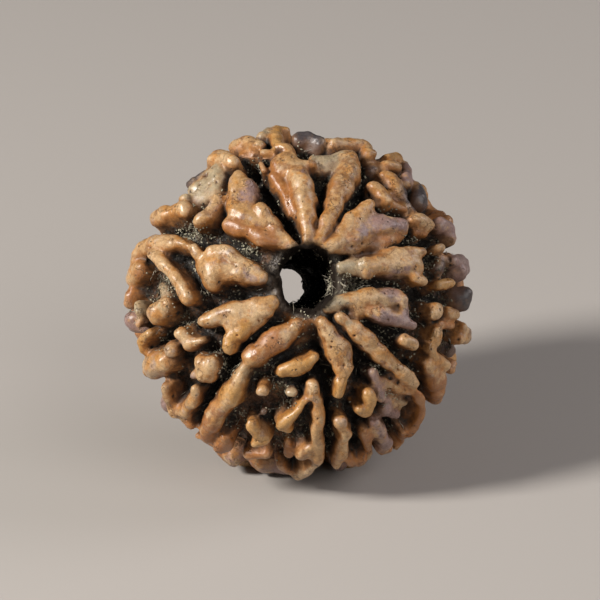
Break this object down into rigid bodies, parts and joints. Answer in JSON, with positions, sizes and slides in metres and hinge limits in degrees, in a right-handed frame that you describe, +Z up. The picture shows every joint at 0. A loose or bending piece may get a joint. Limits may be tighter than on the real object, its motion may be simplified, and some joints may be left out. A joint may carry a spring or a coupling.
{
  "type": "rudraksha bead",
  "caption": "Natural rudraksha stone bead with knobbly ridges, sunk seams between its segments and a natural hole from end to end, lying at rest.",
  "frame": {"origin": "middle of the bead's outline on the ground, at the flat spots that it lies on", "axes": "+Z up from the ground; the near mouth of the hole faces -Y and is turned up about 32 degrees, with a slight turn to +X"},
  "size_m": [0.0217, 0.0194, 0.0209],
  "materials": {
    "stone": "hard tan-brown stone, softly polished on the ridges, dark and dusty in the seams"
  },
  "bodies": {
    "root": {"rudraksha_bead": "stone"}
  },
  "joints": []
}
